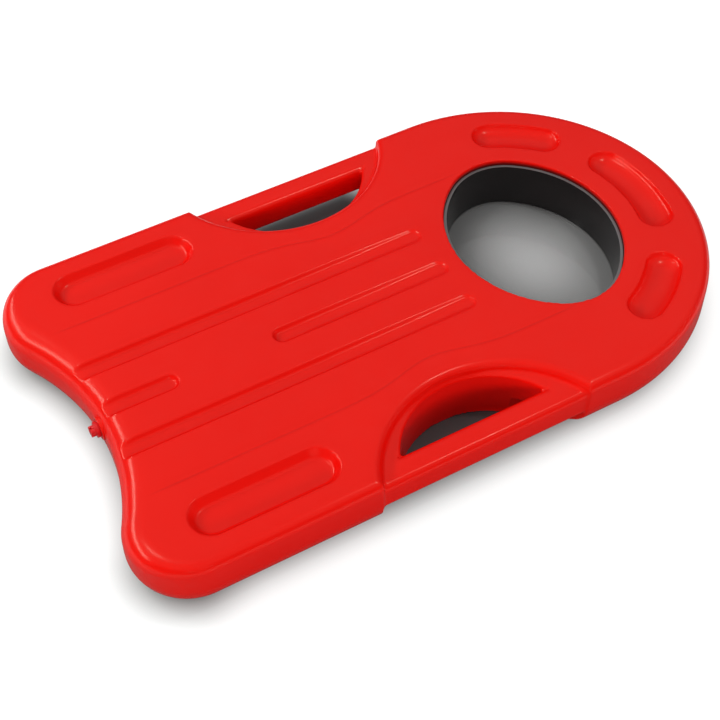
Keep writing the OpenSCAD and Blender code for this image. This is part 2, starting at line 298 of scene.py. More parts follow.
def grip_bar(side):
    no_selection()
    middle = Vector((HAND_X, side * (GRIP_OUT + GRIP_IN) / 2, (GRIP_TOP + GRIP_FOOT) / 2)) * MM
    bpy.ops.mesh.primitive_cube_add(size=1, location=middle)
    bar = bpy.context.object
    bar.scale = Vector((GRIP_LEN, GRIP_W, GRIP_H)) * MM
    bpy.ops.object.transform_apply(location=True, rotation=True, scale=True)
    weights = bar.data.attributes.new("bevel_weight_edge", "FLOAT", "EDGE")
    for edge in bar.data.edges:
        a, b = (bar.data.vertices[i].co for i in edge.vertices)
        weights.data[edge.index].value = 1.0 if abs(a.x - b.x) > GRIP_W * MM else 0.0
    apply_modifier(bar, "BEVEL", width=GRIP_R * MM, segments=8, limit_method="WEIGHT")
    return bar


def shoulder(side, end):
    x0, x1 = sorted((HAND_X + end * SHOULDER_FROM, HAND_X + end * SHOULDER_TO))
    y0, y1 = sorted((side * (GRIP_IN - GRIP_R), side * (GRIP_IN + 2 * GRIP_R)))
    corners = [(x0, y0), (x1, y0), (x1, y1), (x0, y1)]
    return block("shoulder", corners, GRIP_FOOT, [(0, GRIP_H)])


for side in (-1, 1):
    combine(hull, grip_bar(side), "UNION")
    for end in (-1, 1):
        combine(hull, shoulder(side, end), "UNION")
print("grips put back,", len(hull.data.polygons), "faces")

# %% [markdown]
# ## The viewing well
#
# The well is an oval of four arcs that meet in line, so that every piece that lines it can be
# the same oval, a little larger or smaller. It runs right through the float. Underneath it is
# stepped out to make a seat for the flange of the sleeve and for the ring that clamps the pane.

# %% Well
WELL_X = HALF_LEN - 176.5
WELL_A = 88.0
WELL_B = 110.0
END_R = 64.0
END_C = WELL_B - END_R
FLANK_E = WELL_A - END_R
FLANK_C = (END_C ** 2 - FLANK_E ** 2) / (2 * FLANK_E)
FLANK_R = WELL_A + FLANK_C
MEET = math.degrees(math.atan2(END_C, FLANK_C))
SEAT_OUT = 20.4
SEAT_Z = 13.0


def oval(reach, steps=48):
    left, right = WELL_X - FLANK_C, WELL_X + FLANK_C
    points = arc((left, 0), FLANK_R + reach, -MEET, MEET, steps)[:-1]
    points += arc((WELL_X, END_C), END_R + reach, MEET, 180 - MEET, steps)[:-1]
    points += arc((right, 0), FLANK_R + reach, 180 - MEET, 180 + MEET, steps)[:-1]
    points += arc((WELL_X, -END_C), END_R + reach, 180 + MEET, 360 - MEET, steps)[:-1]
    return points


cut_away(oval(0), -BEYOND, BOARD_H + BEYOND)
cut_away(oval(SEAT_OUT), -BEYOND, SEAT_Z)
print("well cut,", len(hull.data.polygons), "faces")

# %% [markdown]
# ## Recesses and channels in the deck
#
# The deck is stiffened by shapes that are pressed into it: a long recess in each tail lobe,
# three curved ones round the nose, and channels along the middle that run out over the tail and
# get shallower towards the well. Each cutter is its outline at deck level, drawn in on the way
# down so that the walls lean, or in the steps of a quarter ellipse, for the hollow ones at the
# nose. The rising floor is made by lifting the far end of the cutter.

# %% Outlines of the recesses
NOSE_SLOT_R = 158.0
SIDE_STEPS = 40
TIP_STEPS = 24


def stadium(x0, x1, y, width):
    r = width / 2
    run = [x0 + r + (x1 - x0 - width) * i / SIDE_STEPS for i in range(1, SIDE_STEPS)]
    points = arc((x1 - r, y), r, -90, 90, TIP_STEPS)
    points += [(x, y + r) for x in reversed(run)]
    points += arc((x0 + r, y), r, 90, 270, TIP_STEPS)
    points += [(x, y - r) for x in run]
    return points


def bowed(start, end, width):
    r = width / 2
    turn = math.degrees(math.asin(r / NOSE_SLOT_R))
    a, b = start + turn, end - turn
    far = arc((NOSE_X, 0), NOSE_SLOT_R + r, a, b, SIDE_STEPS)
    tip = arc(arc((NOSE_X, 0), NOSE_SLOT_R, b, b, 1)[0], r, b, b + 180, TIP_STEPS)[1:-1]
    near = arc((NOSE_X, 0), NOSE_SLOT_R - r, b, a, SIDE_STEPS)
    heel = arc(arc((NOSE_X, 0), NOSE_SLOT_R, a, a, 1)[0], r, a + 180, a + 360, TIP_STEPS)[1:-1]
    return far + tip + near + heel


# %% Cutters for the recesses
HOLLOW_STEPS = 7


def leaning(depth, lean):
    return [(lean * depth, -depth)]


def hollow(depth, half_width):
    turns = [math.radians(90 * i / HOLLOW_STEPS) for i in range(HOLLOW_STEPS + 1)]
    return [
        (half_width * (math.cos(a) - math.cos(b)), depth * (math.sin(a) - math.sin(b)))
        for a, b in zip(turns, turns[1:])
    ]


def press_in(outline, depth, walls, fade=None):
    tool = outline_face("cut", outline, BOARD_H + BEYOND)
    grow(tool, [(0, -BEYOND)] + walls)
    if fade:
        start, end, left_over = fade
        floor = (BOARD_H - depth / 2) * MM
        for vert in tool.data.vertices:
            share = min(max((vert.co.x / MM - start) / (end - start), 0.0), 1.0)
            if vert.co.z < floor:
                vert.co.z += share * (depth - left_over) * MM
    close_solid(tool)
    apply_modifier(tool, "TRIANGULATE")
    combine(hull, tool, "DIFFERENCE")


# %% Recesses at the nose and the tail
SLOT_DEPTH = 9.0
NOSE_SLOT_W = 37.0
NOSE_SLOT_TURN = 23.0
SIDE_SLOT_FROM = 37.0
SIDE_SLOT_TO = 72.0
NOSE_HOLLOW = 0.9 * NOSE_SLOT_W / 2
TAIL_SLOT_START = 57.5 - HALF_LEN
TAIL_SLOT_END = 207.5 - HALF_LEN
TAIL_SLOT_Y = 156.0
TAIL_SLOT_W = 45.0
SLOT_LEAN = 0.78

nose_walls = hollow(SLOT_DEPTH, NOSE_HOLLOW)
slot_walls = leaning(SLOT_DEPTH, SLOT_LEAN)
press_in(bowed(-NOSE_SLOT_TURN, NOSE_SLOT_TURN, NOSE_SLOT_W), SLOT_DEPTH, nose_walls)
for side in (-1, 1):
    first, last = sorted((side * SIDE_SLOT_FROM, side * SIDE_SLOT_TO))
    press_in(bowed(first, last, NOSE_SLOT_W), SLOT_DEPTH, nose_walls)
    tail_slot = stadium(TAIL_SLOT_START, TAIL_SLOT_END, side * TAIL_SLOT_Y, TAIL_SLOT_W)
    press_in(tail_slot, SLOT_DEPTH, slot_walls)
print("recesses pressed in,", len(hull.data.polygons), "faces")

# %% Channels
CHANNEL_DEPTH = 5.0
CHANNEL_FAINT = 2.0
CHANNEL_LEAN = 0.5
CHANNEL_PITCH = 52.5
CHANNEL_W = 19.0
CHANNEL_START = -HALF_LEN - CHANNEL_W
CHANNEL_END = WELL_X - WELL_A - 17.0
CHANNEL_FADE = CHANNEL_END - 195.0
REAR_END = NOTCH_X + 84.0
FRONT_START = REAR_END + 102.0

channel_walls = leaning(CHANNEL_DEPTH, CHANNEL_LEAN)
for side in (-1, 1):
    long_way = stadium(CHANNEL_START, CHANNEL_END, side * CHANNEL_PITCH, CHANNEL_W)
    press_in(long_way, CHANNEL_DEPTH, channel_walls, (CHANNEL_FADE, CHANNEL_END, CHANNEL_FAINT))
press_in(stadium(CHANNEL_START, REAR_END, 0, CHANNEL_W), CHANNEL_DEPTH, channel_walls)
front_way = stadium(FRONT_START, CHANNEL_END, 0, CHANNEL_W)
press_in(front_way, CHANNEL_DEPTH, channel_walls, (FRONT_START, CHANNEL_END, CHANNEL_FAINT))
print("channels pressed in,", len(hull.data.polygons), "faces")

# %% [markdown]
# ## The moulded skin
#
# A moulded float has no sharp edge anywhere. Bevelling every edge of such a mixed shape would
# fail where cuts cross the round shoulder, so the whole body is given an even skin by a voxel
# Remesh, and a few passes of Smooth round each edge to two or three millimetres. The flat areas
# then have far more faces than they need, which Decimate takes away again. The bore for the drain
# plug's bush is cut before, slightly too wide, because a crisp ring is set into it later.

# %% Skin
PLUG_Z = 42.0
BUSH_FACE = NOTCH_X - 1.5
SKIN_VOXEL = 1.5
SMOOTH_PASSES = 4
MOST_FACES = 190000
ROUND_STEPS = 96
WIDE_BORE_R = 10.5
WIDE_BORE_OUT = 20.0
WIDE_BORE_IN = 18.0


def rod(name, x0, x1, radius):
    no_selection()
    bpy.ops.mesh.primitive_cylinder_add(
        vertices=ROUND_STEPS, radius=radius * MM, depth=(x1 - x0) * MM, rotation=(0, math.pi / 2, 0),
        location=Vector(((x0 + x1) / 2, 0, PLUG_Z)) * MM,
    )
    bpy.ops.object.transform_apply(location=True, rotation=True, scale=True)
    bpy.context.object.name = name
    return bpy.context.object


wide_bore = rod("cut", BUSH_FACE - WIDE_BORE_OUT, BUSH_FACE + WIDE_BORE_IN, WIDE_BORE_R)
combine(hull, wide_bore, "DIFFERENCE")
apply_modifier(hull, "REMESH", mode="VOXEL", voxel_size=SKIN_VOXEL * MM)
print("even skin of", len(hull.data.polygons), "faces")
apply_modifier(hull, "SMOOTH", factor=0.5, iterations=SMOOTH_PASSES)
print("skin smoothed in", SMOOTH_PASSES, "passes")

# %% [markdown]
# ## The parting lines
#
# One thin line, left by the mould, runs along each side of the deck. It is straight, but bows
# inwards past the hand hole, and fades out at both ends. The skin is still even and dense here, so
# the line is pressed into it point by point, as with a fine sculpting brush. Only then is the skin
# thinned, and Decimate leaves the points that the line needs.

# %% Parting lines
CREASE_Y = 110.0
CREASE_BOW = 14.5
CREASE_RUN = 48.0
CREASE_MIDDLE = -79.0
CREASE_HALF = 240.0
CREASE_FADE = 35.0
CREASE_W = 1.2
CREASE_DEPTH = 0.4
CREASE_REACH = 3.0

for vert in hull.data.vertices:
    x, y, z = vert.co / MM
    if z < BOARD_H - 1:
        continue
    line = CREASE_Y - CREASE_BOW * math.exp(-((x - HAND_X) / CREASE_RUN) ** 2)
    away = (abs(y) - line) / CREASE_W
    if abs(away) < CREASE_REACH:
        share = min(max((CREASE_HALF - abs(x - CREASE_MIDDLE)) / CREASE_FADE, 0.0), 1.0)
        vert.co.z -= share * CREASE_DEPTH * math.exp(-away * away) * MM
apply_modifier(hull, "TRIANGULATE")
apply_modifier(hull, "DECIMATE", ratio=min(1.0, MOST_FACES / len(hull.data.polygons)))
bpy.ops.object.shade_smooth()
print("lighter skin of", len(hull.data.polygons), "faces")

# %% [markdown]
# ## The ring round the drain hole
#
# Round the drain plug the float has a boss with a true bore, which Remesh would have left ragged.
# So the boss is a ring of its own, a disc extruded to its length with a smaller one cut out of it,
# and is joined to the float's mesh.

# %% Boss
BOSS_R = 12.0
BORE_R = 9.06
BOSS_LEN = 17.5
BOSS_EDGE = 0.8
SMOOTH_BELOW = math.radians(40)


def lay_along_board(obj, x):
    only(obj)
    obj.rotation_euler = (0, math.pi / 2, 0)
    obj.location = Vector((x, 0, PLUG_Z)) * MM
    bpy.ops.object.transform_apply(location=True, rotation=True, scale=True)


def open_ring(name, outer, inner, z, height):
    ring = block(name, outer, z, [(0, height)])
    combine(ring, block("cut", inner, z - BEYOND, [(0, height + 2 * BEYOND)]), "DIFFERENCE")
    return ring


boss_rim = circle((0, 0), BOSS_R, ROUND_STEPS)
bore_rim = circle((0, 0), BORE_R, ROUND_STEPS)
boss = open_ring("boss", boss_rim, bore_rim, 0, BOSS_LEN)
apply_modifier(boss, "BEVEL", width=BOSS_EDGE * MM, segments=3, limit_method="ANGLE")
bpy.ops.object.shade_smooth_by_angle(angle=SMOOTH_BELOW)
lay_along_board(boss, BUSH_FACE)
only(hull)
boss.select_set(True)
bpy.ops.object.join()
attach(hull, "board")
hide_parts("hull_shell")
print("hull with its boss has", len(hull.data.polygons), "faces")

# %% [markdown]
# ## The sleeve in the well
#
# A dark glossy sleeve lines the well. It stops a few millimetres below the deck and shows there
# as a thin grey rim, so the rim's two edges are rounded. Below, it spreads into a flange. The
# whole section is drawn by growing one face: up the flange's edge, in to the wall, up it, over
# the rim and down the inside. Then the first and the last face, both at the foot, are deleted,
# and the two open loops that they leave are bridged.

# %% Sleeve
SLEEVE_TOP = BOARD_H - 6.5
SLEEVE_FOOT = 8.5
FLANGE_W = 20.0
FLANGE_T = 3.0
SLEEVE_T = 3.0
SLEEVE_GAP = 0.4

sleeve = outline_face("sleeve", oval(FLANGE_W), SLEEVE_FOOT)
wall_rise = SLEEVE_TOP - SLEEVE_FOOT - FLANGE_T
grow(sleeve, [
    (0, FLANGE_T), (FLANGE_W + SLEEVE_GAP, 0), (0, wall_rise),
    (SLEEVE_T, 0), (0, SLEEVE_FOOT - SLEEVE_TOP),
])
for face in sleeve.data.polygons:
    face.select = abs(face.center.z / MM - SLEEVE_FOOT) < 0.01
bpy.ops.object.mode_set(mode="EDIT")
bpy.ops.mesh.select_mode(type="FACE")
bpy.ops.mesh.delete(type="FACE")
bpy.ops.mesh.select_mode(type="EDGE")
bpy.ops.mesh.select_all(action="DESELECT")
bpy.ops.mesh.select_non_manifold()
bpy.ops.mesh.bridge_edge_loops()
bpy.ops.mesh.select_all(action="SELECT")
bpy.ops.mesh.normals_make_consistent(inside=False)
bpy.ops.object.mode_set(mode="OBJECT")
print("section of the sleeve has", len(sleeve.data.polygons), "faces")

# %% Screw holes and edges of the sleeve
SCREWS = 10
SCREW_OUT = 13.2
SCREW_HOLE_R = 2.2
SCREW_HOLE_STEPS = 32
SLEEVE_EDGE = 1.2

screw_places = []
for i in range(SCREWS):
    turn = math.tau * (i + 0.5) / SCREWS
    x = WELL_X + (WELL_A + SCREW_OUT) * math.cos(turn)
    screw_places.append((x, (WELL_B + SCREW_OUT) * math.sin(turn)))
for x, y in screw_places:
    hole = circle((x, y), SCREW_HOLE_R, SCREW_HOLE_STEPS)
    drill = block("cut", hole, SLEEVE_FOOT - BEYOND, [(0, FLANGE_T + 2 * BEYOND)])
    combine(sleeve, drill, "DIFFERENCE")
apply_modifier(sleeve, "BEVEL", width=SLEEVE_EDGE * MM, segments=4, limit_method="ANGLE",
               angle_limit=math.radians(50))
bpy.ops.object.shade_smooth_by_angle(angle=SMOOTH_BELOW)
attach(sleeve, "board")
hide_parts("window_sleeve")
print("sleeve with", SCREWS, "screw holes has", len(sleeve.data.polygons), "faces")

# %% [markdown]
# ## Clamp screws
#
# Ten low-headed screws hold the clamp ring from below. One is modelled, with a socket for a key
# in its head, and the other nine are copies of it with their own meshes.

# %% Screws
HEAD_R = 3.8
HEAD_Z = 1.0
HEAD_H = 2.4
SHANK_R = 2.0
SHANK_TOP = 21.0
KEY_R = 1.75
KEY_DEPTH = 1.5
KEY_SIDES = 6
HEAD_EDGE = 0.35
TIP_EDGE = 0.5
HEAD_STEPS = 40
SHANK_STEPS = 24


def clamp_screw(x, y):
    screw = block("screws", circle((x, y), HEAD_R, HEAD_STEPS), HEAD_Z, [(0, HEAD_H)])
    hexagon = circle((x, y), KEY_R, KEY_SIDES)
    key = block("cut", hexagon, HEAD_Z - BEYOND, [(0, KEY_DEPTH + BEYOND)])
    combine(screw, key, "DIFFERENCE")
    apply_modifier(screw, "BEVEL", width=HEAD_EDGE * MM, segments=2, limit_method="ANGLE")
    shank_foot = HEAD_Z + HEAD_H - TIP_EDGE
    shank_steps = [(0, SHANK_TOP - HEAD_Z - HEAD_H), (TIP_EDGE, TIP_EDGE)]
    shank = block("shank", circle((x, y), SHANK_R, SHANK_STEPS), shank_foot, shank_steps)
    combine(screw, shank, "UNION")
    bpy.ops.object.shade_smooth_by_angle(angle=SMOOTH_BELOW)
    return screw


x0, y0 = screw_places[0]
screws = clamp_screw(x0, y0)
copies = []
for x, y in screw_places[1:]:
    only(screws)
    bpy.ops.object.duplicate(linked=False)
    bpy.ops.transform.translate(value=Vector((x - x0, y - y0, 0)) * MM)
    bpy.ops.object.transform_apply(location=True, rotation=True, scale=True)
    copies.append(bpy.context.object)
only(screws)
for copy in copies:
    copy.select_set(True)
bpy.ops.object.join()
screws.name = "screws"
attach(screws, "board")
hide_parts("clamp_screws")
print("screws have", len(screws.data.polygons), "faces")

# %% [markdown]
# ## Soft edges on the small solid parts
#
# The clamp ring, the drain plug and its bush are right as they are in the CAD model, except that
# a real moulding has a small radius on each edge, which catches the light. A CAD node's mesh is
# left alone, so each is copied. The copy's loose triangles are merged, and a fine Bevel is put
# on its sharp edges.

# %% Softened copies
MERGE = 0.002


def softened(node_name, name, body, width):
    piece = bpy.data.objects.new(name, nodes[node_name].data.copy())
    bpy.context.scene.collection.objects.link(piece)
    only(piece)
    bpy.ops.object.mode_set(mode="EDIT")
    bpy.ops.mesh.select_all(action="SELECT")
    bpy.ops.mesh.remove_doubles(threshold=MERGE * MM)
    bpy.ops.mesh.tris_convert_to_quads()
    bpy.ops.object.mode_set(mode="OBJECT")
    apply_modifier(
        piece, "BEVEL", width=width * MM, segments=2, limit_method="ANGLE",
        angle_limit=math.radians(35), use_clamp_overlap=True,
    )
    bpy.ops.object.shade_smooth_by_angle(angle=SMOOTH_BELOW)
    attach(piece, body)
    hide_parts(node_name)
    print(name, "has", len(piece.data.polygons), "faces")
    return piece


ring = softened("clamp_ring", "retaining_ring", "board", width=0.5)
bush = softened("plug_bush", "threaded_bush", "board", width=0.4)
plug = softened("drain_plug", "screw_plug", "plug", width=0.4)

# %% [markdown]
# ## Finishes
#
# Every finish starts from the same few steps: a cloud of noise in the object's own coordinates,
# a range that turns it into roughness, a mix of two close tints and a bump. What differs is the
# scale and the depth, in millimetres, and those make a rubber or a steel out of it. A noise node
# seldom leaves the middle of its range, so that middle is what gets stretched.

# %% Helpers for places and numbers in a finish
def finish(name, metallic=0.0, specular=0.5):
    made = bpy.data.materials.new(name)
    made.use_nodes = True
    tree = made.node_tree
    shader = tree.nodes["Principled BSDF"]
    shader.inputs["Metallic"].default_value = metallic
    shader.inputs["Specular IOR Level"].default_value = specular
    return made, tree, shader


def own_place(tree):
    return tree.nodes.new("ShaderNodeTexCoord").outputs["Object"]


def own_xyz(tree):
    spot = tree.nodes.new("ShaderNodeSeparateXYZ")
    tree.links.new(own_place(tree), spot.inputs["Vector"])
    return spot.outputs


def cloud(tree, grain, detail=3.0, stretch=(1, 1, 1)):
    turn = tree.nodes.new("ShaderNodeMapping")
    turn.inputs["Scale"].default_value = stretch
    noise = tree.nodes.new("ShaderNodeTexNoise")
    noise.inputs["Scale"].default_value = 1 / (grain * MM)
    noise.inputs["Detail"].default_value = detail
    tree.links.new(own_place(tree), turn.inputs["Vector"])
    tree.links.new(turn.outputs["Vector"], noise.inputs["Vector"])
    return noise.outputs["Fac"]


def calc(tree, operation, *values):
    node = tree.nodes.new("ShaderNodeMath")
    node.operation = operation
    for socket, value in zip(node.inputs, values):
        if isinstance(value, (int, float)):
            socket.default_value = value
        else:
            tree.links.new(value, socket)
    return node.outputs[0]


def reach(tree, a, b):
    squares = calc(tree, "ADD", calc(tree, "MULTIPLY", a, a), calc(tree, "MULTIPLY", b, b))
    return calc(tree, "SQRT", squares)


def ranged(tree, value, low, high, new_low, new_high):
    node = tree.nodes.new("ShaderNodeMapRange")
    node.interpolation_type = "SMOOTHSTEP"
    numbers = {"From Min": low, "From Max": high, "To Min": new_low, "To Max": new_high}
    for key, number in numbers.items():
        node.inputs[key].default_value = number
    tree.links.new(value, node.inputs["Value"])
    return node.outputs["Result"]


# %% Helpers for colour, gloss and relief
NOISE_LOW = 0.3
NOISE_HIGH = 0.7


def tint(tree, share, first, second):
    node = tree.nodes.new("ShaderNodeMix")
    node.data_type = "RGBA"
    tree.links.new(share, node.inputs[0])
    for socket, value in ((node.inputs[6], first), (node.inputs[7], second)):
        if isinstance(value, tuple):
            socket.default_value = (*value, 1)
        else:
            tree.links.new(value, socket)
    return node.outputs[2]


def colour(tree, shader, share, first, second):
    tree.links.new(tint(tree, share, first, second), shader.inputs["Base Color"])


def roughness(tree, shader, share, low, high, start=NOISE_LOW, end=NOISE_HIGH):
    tree.links.new(ranged(tree, share, start, end, low, high), shader.inputs["Roughness"])


def bump(tree, shader, height, depth):
    node = tree.nodes.new("ShaderNodeBump")
    node.inputs["Strength"].default_value = 1.0
    node.inputs["Distance"].default_value = depth * MM
    tree.links.new(height, node.inputs["Height"])
    for link in shader.inputs["Normal"].links:
        tree.links.new(link.from_socket, node.inputs["Normal"])
    tree.links.new(node.outputs["Normal"], shader.inputs["Normal"])


def wear(piece, made):
    piece.data.materials.clear()
    piece.data.materials.append(made)


# %% [markdown]
# ### Red polyethylene
#
# Rotationally moulded polyethylene is satin, with a very fine grain, slightly uneven in gloss,
# and its surface is never quite true, which makes long highlights waver. Shade is painted along
# the parting lines, a little darker than the deck, written as a distance from the same curve.
# Shade is also painted on the strip of the well's wall above the sleeve, a narrow gap in shade,
# so that it shows almost black.

# %% Where shade is painted into the red
LINE_FROM = 0.2
LINE_TO = 1.8
GAP_FROM = 1.04
GAP_TO = 1.08


# Painted shade: a mask for darker red along each parting line, as shade in the fold.
def parting_line_shade(tree):
    x, y, z = own_xyz(tree)
    along = calc(tree, "DIVIDE", calc(tree, "SUBTRACT", x, HAND_X * MM), CREASE_RUN * MM)
    bow = calc(tree, "EXPONENT", calc(tree, "MULTIPLY", calc(tree, "MULTIPLY", along, along), -1.0))
    line = calc(tree, "MULTIPLY_ADD", bow, -CREASE_BOW * MM, CREASE_Y * MM)
    away = calc(tree, "ABSOLUTE", calc(tree, "SUBTRACT", calc(tree, "ABSOLUTE", y), line))
    mark = ranged(tree, away, LINE_FROM * MM, LINE_TO * MM, 1.0, 0.0)
    deck = ranged(tree, z, (BOARD_H - 1.5) * MM, (BOARD_H - 0.5) * MM, 0.0, 1.0)
    middle = calc(tree, "ABSOLUTE", calc(tree, "SUBTRACT", x, CREASE_MIDDLE * MM))
    ends = ranged(tree, middle, (CREASE_HALF - CREASE_FADE) * MM, CREASE_HALF * MM, 1.0, 0.0)
    return calc(tree, "MULTIPLY", calc(tree, "MULTIPLY", mark, deck), ends)


# Painted shade: a mask for the well's wall between the sleeve's rim and the deck, which is painted
# almost black.
def well_gap_shade(tree):
    x, y, z = own_xyz(tree)
    along = calc(tree, "DIVIDE", calc(tree, "SUBTRACT", x, WELL_X * MM), WELL_A * MM)
    across = calc(tree, "DIVIDE", y, WELL_B * MM)
    inside = ranged(tree, reach(tree, along, across), GAP_FROM, GAP_TO, 1.0, 0.0)
    below = ranged(tree, z, (SLEEVE_TOP + 1) * MM, (BOARD_H - 0.8) * MM, 1.0, 0.0)
    return calc(tree, "MULTIPLY", inside, below)


# %% Red polyethylene
DEEP_RED = (0.79, 0.0030, 0.0010)
BRIGHT_RED = (0.82, 0.0042, 0.0016)
# Painted shade along the parting lines.
LINE_PAINTED_SHADE = (0.40, 0.001, 0.002)
# Painted shade: almost black for the gap above the sleeve.
GAP_PAINTED_SHADE = (0.02, 0.001, 0.001)
WARM_GLOSS = (1.0, 0.95, 0.75, 1.0)
LINE_SHADE_SHARE = 0.25
GAP_SHADE_SHARE = 0.9

red, tree, shader = finish("red_polyethylene", specular=0.22)
shader.inputs["Specular Tint"].default_value = WARM_GLOSS
patches = ranged(tree, cloud(tree, grain=160), NOISE_LOW, NOISE_HIGH, 0, 1)
tone = tint(tree, patches, DEEP_RED, BRIGHT_RED)
# Painted shade: the red is darkened along the parting lines.
with_line_shade = tint(tree, calc(tree, "MULTIPLY", parting_line_shade(tree), LINE_SHADE_SHARE), tone, LINE_PAINTED_SHADE)
# Painted shade: the gap above the sleeve is painted almost black.
colour(tree, shader, calc(tree, "MULTIPLY", well_gap_shade(tree), GAP_SHADE_SHARE), with_line_shade, GAP_PAINTED_SHADE)
roughness(tree, shader, cloud(tree, grain=22), low=0.18, high=0.24)
bump(tree, shader, cloud(tree, grain=70, detail=1.0), depth=0.4)
bump(tree, shader, cloud(tree, grain=1.1, detail=2.0), depth=0.004)
wear(hull, red)
print("red finish has", len(tree.nodes), "nodes")

# %% [markdown]
# ### The dark sleeve and the clear pane
#
# The sleeve is smoked gloss plastic: almost black, with a sharp reflection that breaks up a
# little. A paler grey on the rim is a painted highlight, for the light that its cut edge gathers.
# The pane is clear and slightly scuffed. Its opacity is the same all over, so it is set
# on the shader's own socket.

# %% Sleeve and pane
RIM_FROM = SLEEVE_TOP - 0.15
RIM_TO = SLEEVE_TOP - 0.02
RIM_PAINTED_HIGHLIGHT = (0.15, 0.14, 0.14)
SMOKE = (0.004, 0.004, 0.004)
BROWN_SMOKE = (0.013, 0.008, 0.008)
PANE_OPACITY = 0.35

smoked, tree, shader = finish("smoked_sleeve")
# Painted highlight: the top of the rim is painted a paler grey.
rim = ranged(tree, own_xyz(tree)["Z"], RIM_FROM * MM, RIM_TO * MM, 0.0, 1.0)
wall = tint(tree, cloud(tree, grain=40), SMOKE, BROWN_SMOKE)
colour(tree, shader, rim, wall, RIM_PAINTED_HIGHLIGHT)
roughness(tree, shader, cloud(tree, grain=9, detail=5.0), low=0.07, high=0.17)
bump(tree, shader, cloud(tree, grain=45, detail=1.0), depth=0.5)
wear(sleeve, smoked)

clear, tree, shader = finish("clear_pane")
colour(tree, shader, cloud(tree, grain=50), (0.43, 0.425, 0.415), (0.53, 0.525, 0.515))
roughness(tree, shader, cloud(tree, grain=20), low=0.05, high=0.16, start=0.35, end=0.75)
shader.inputs["Alpha"].default_value = PANE_OPACITY
bump(tree, shader, cloud(tree, grain=70, detail=1.0), depth=0.2)
wear(nodes["window_pane"], clear)
print("sleeve's rim is grey above", RIM_FROM, "mm; the pane's opacity is", PANE_OPACITY)

# %% [markdown]
# ### Rubber, nylon and the plug
#
# Rubber is dull, with a pale bloom in patches. The clamp ring is glass-filled nylon, with a
# fine sparkle of grain. The plug and its bush are a harder, slightly deeper red than the float.

# %% Rubber, nylon, plug
rubber, tree, shader = finish("black_rubber", specular=0.3)
bloom = ranged(tree, cloud(tree, grain=12), 0.4, 0.75, 0, 1)
colour(tree, shader, bloom, (0.012, 0.012, 0.012), (0.035, 0.034, 0.033))
roughness(tree, shader, cloud(tree, grain=5), low=0.6, high=0.8)
bump(tree, shader, cloud(tree, grain=0.6), depth=0.05)
for name in ("flange_gasket", "pane_gasket", "plug_seal_ring"):
    wear(nodes[name], rubber)

nylon, tree, shader = finish("black_nylon", specular=0.4)
colour(tree, shader, cloud(tree, grain=0.9, detail=4.0), (0.014, 0.014, 0.015), (0.034, 0.034, 0.036))
roughness(tree, shader, cloud(tree, grain=15), low=0.42, high=0.56)
bump(tree, shader, cloud(tree, grain=0.7), depth=0.06)
wear(ring, nylon)

plug_red, tree, shader = finish("plug_red", specular=0.4)
colour(tree, shader, cloud(tree, grain=8), (0.62, 0.003, 0.005), (0.70, 0.005, 0.008))
roughness(tree, shader, cloud(tree, grain=3), low=0.30, high=0.42)
bump(tree, shader, cloud(tree, grain=0.6), depth=0.03)
for piece in (plug, bush):
    wear(piece, plug_red)
print("made", rubber.name, nylon.name, "and", plug_red.name)

# %% [markdown]
# ### Steel and brass
#
# Turned metal has fine lines round its axis. Noise that is squeezed along the axis gives rows of
# streaks across it, which read as machining marks at this size.

# %% Metals
steel, tree, shader = finish("stainless_steel", metallic=1.0)
marks = cloud(tree, grain=2.5, detail=4.0, stretch=(1, 1, 9))
colour(tree, shader, marks, (0.52, 0.52, 0.53), (0.68, 0.68, 0.67))
roughness(tree, shader, marks, low=0.2, high=0.38)
bump(tree, shader, marks, depth=0.03)
wear(screws, steel)

brass, tree, shader = finish("turned_brass", metallic=1.0)
marks = cloud(tree, grain=2.0, detail=4.0, stretch=(1, 1, 12))
colour(tree, shader, marks, (0.58, 0.38, 0.13), (0.74, 0.53, 0.22))
roughness(tree, shader, marks, low=0.22, high=0.4)
bump(tree, shader, marks, depth=0.03)
wear(nodes["screw_inserts"], brass)
print("finishes:", sorted(made.name for made in bpy.data.materials if made.users))

# %% [markdown]
# ## The floor
#
# The photograph has a white ground with a tight grey shadow, and it is dark under the board. The
# floor is a pale sheet that the lamps light to a little under white, and where the camera sees it
# it glows by the rest. Both follow the distance from the board's outline, which is worked out
# from the same arcs as the plan. The glow rises from there, so the grey band beside the board is
# the lamps' shadow together with a painted shadow made by that ramp, which is wider at the tail.
# The glow is left out below the far hand hole, as painted shade. Under the board the sheet is
# painted dark as shade, apart from a painted pool of light below the well that glows, and close
# beside it the sheet is painted grey as shade, so that it throws little white into the walls.

# %% The sheet
SHEET_SIZE = 14.0
SHEET_Z = -0.4

no_selection()
bpy.ops.mesh.primitive_plane_add(size=SHEET_SIZE, location=(0, 0, SHEET_Z * MM))
bpy.ops.object.transform_apply(location=True, rotation=True, scale=True)
floor = bpy.context.object
floor.name = "floor"
paper, tree, shader = finish("white_paper", specular=0.0)
shader.inputs["Roughness"].default_value = 0.9
shader.inputs["Emission Color"].default_value = (1, 1, 1, 1)
wear(floor, paper)
print("floor is", SHEET_SIZE, "m wide")


# %% Distance from the board's outline
def past_nose_and_sides(tree, x, y):
    ahead = calc(tree, "MAXIMUM", calc(tree, "SUBTRACT", x, NOSE_X * MM), 0.0)
    return calc(tree, "SUBTRACT", reach(tree, ahead, y), HALF_W * MM)


